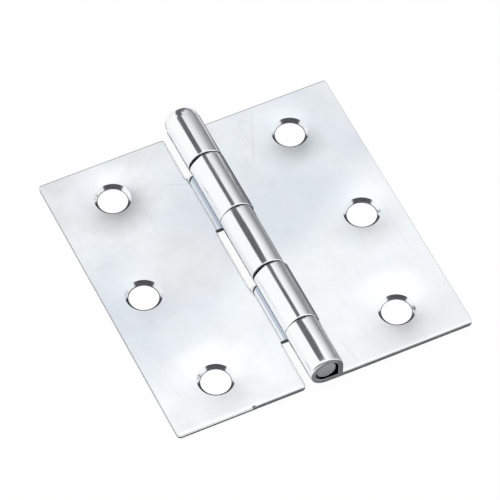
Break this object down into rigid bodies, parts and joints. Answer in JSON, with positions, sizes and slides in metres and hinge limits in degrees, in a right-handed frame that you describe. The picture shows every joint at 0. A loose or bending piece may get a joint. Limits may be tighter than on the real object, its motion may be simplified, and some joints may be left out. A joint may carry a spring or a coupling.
{
  "type": "butt hinge",
  "caption": "Zinc-plated pressed-steel butt hinge lying open: two flat leaves with sunk screw holes, rolled round a pin with a low domed head.",
  "frame": {"origin": "on the mounting plane, under the pin's axis, half way along the leaves", "axes": "+Y along the pin towards its domed head, +X towards the right leaf, +Z out of the mounting plane"},
  "size_m": [0.061, 0.067, 0.0066],
  "materials": {
    "zinc_sheet": "bright zinc plate with a faint blue tint",
    "zinc_pin": "bright zinc plate, polished dome"
  },
  "bodies": {
    "frame_leaf": {"right_leaf": "zinc_sheet", "pin": "zinc_pin"},
    "door_leaf": {"left_leaf": "zinc_sheet"}
  },
  "joints": [
    {"name": "leaf_swing", "type": "hinge", "parent": "frame_leaf", "child": "door_leaf", "pos_m": [0, 0, 0.0033], "axis": [0, 1, 0], "range_deg": [-102, 180]}
  ]
}
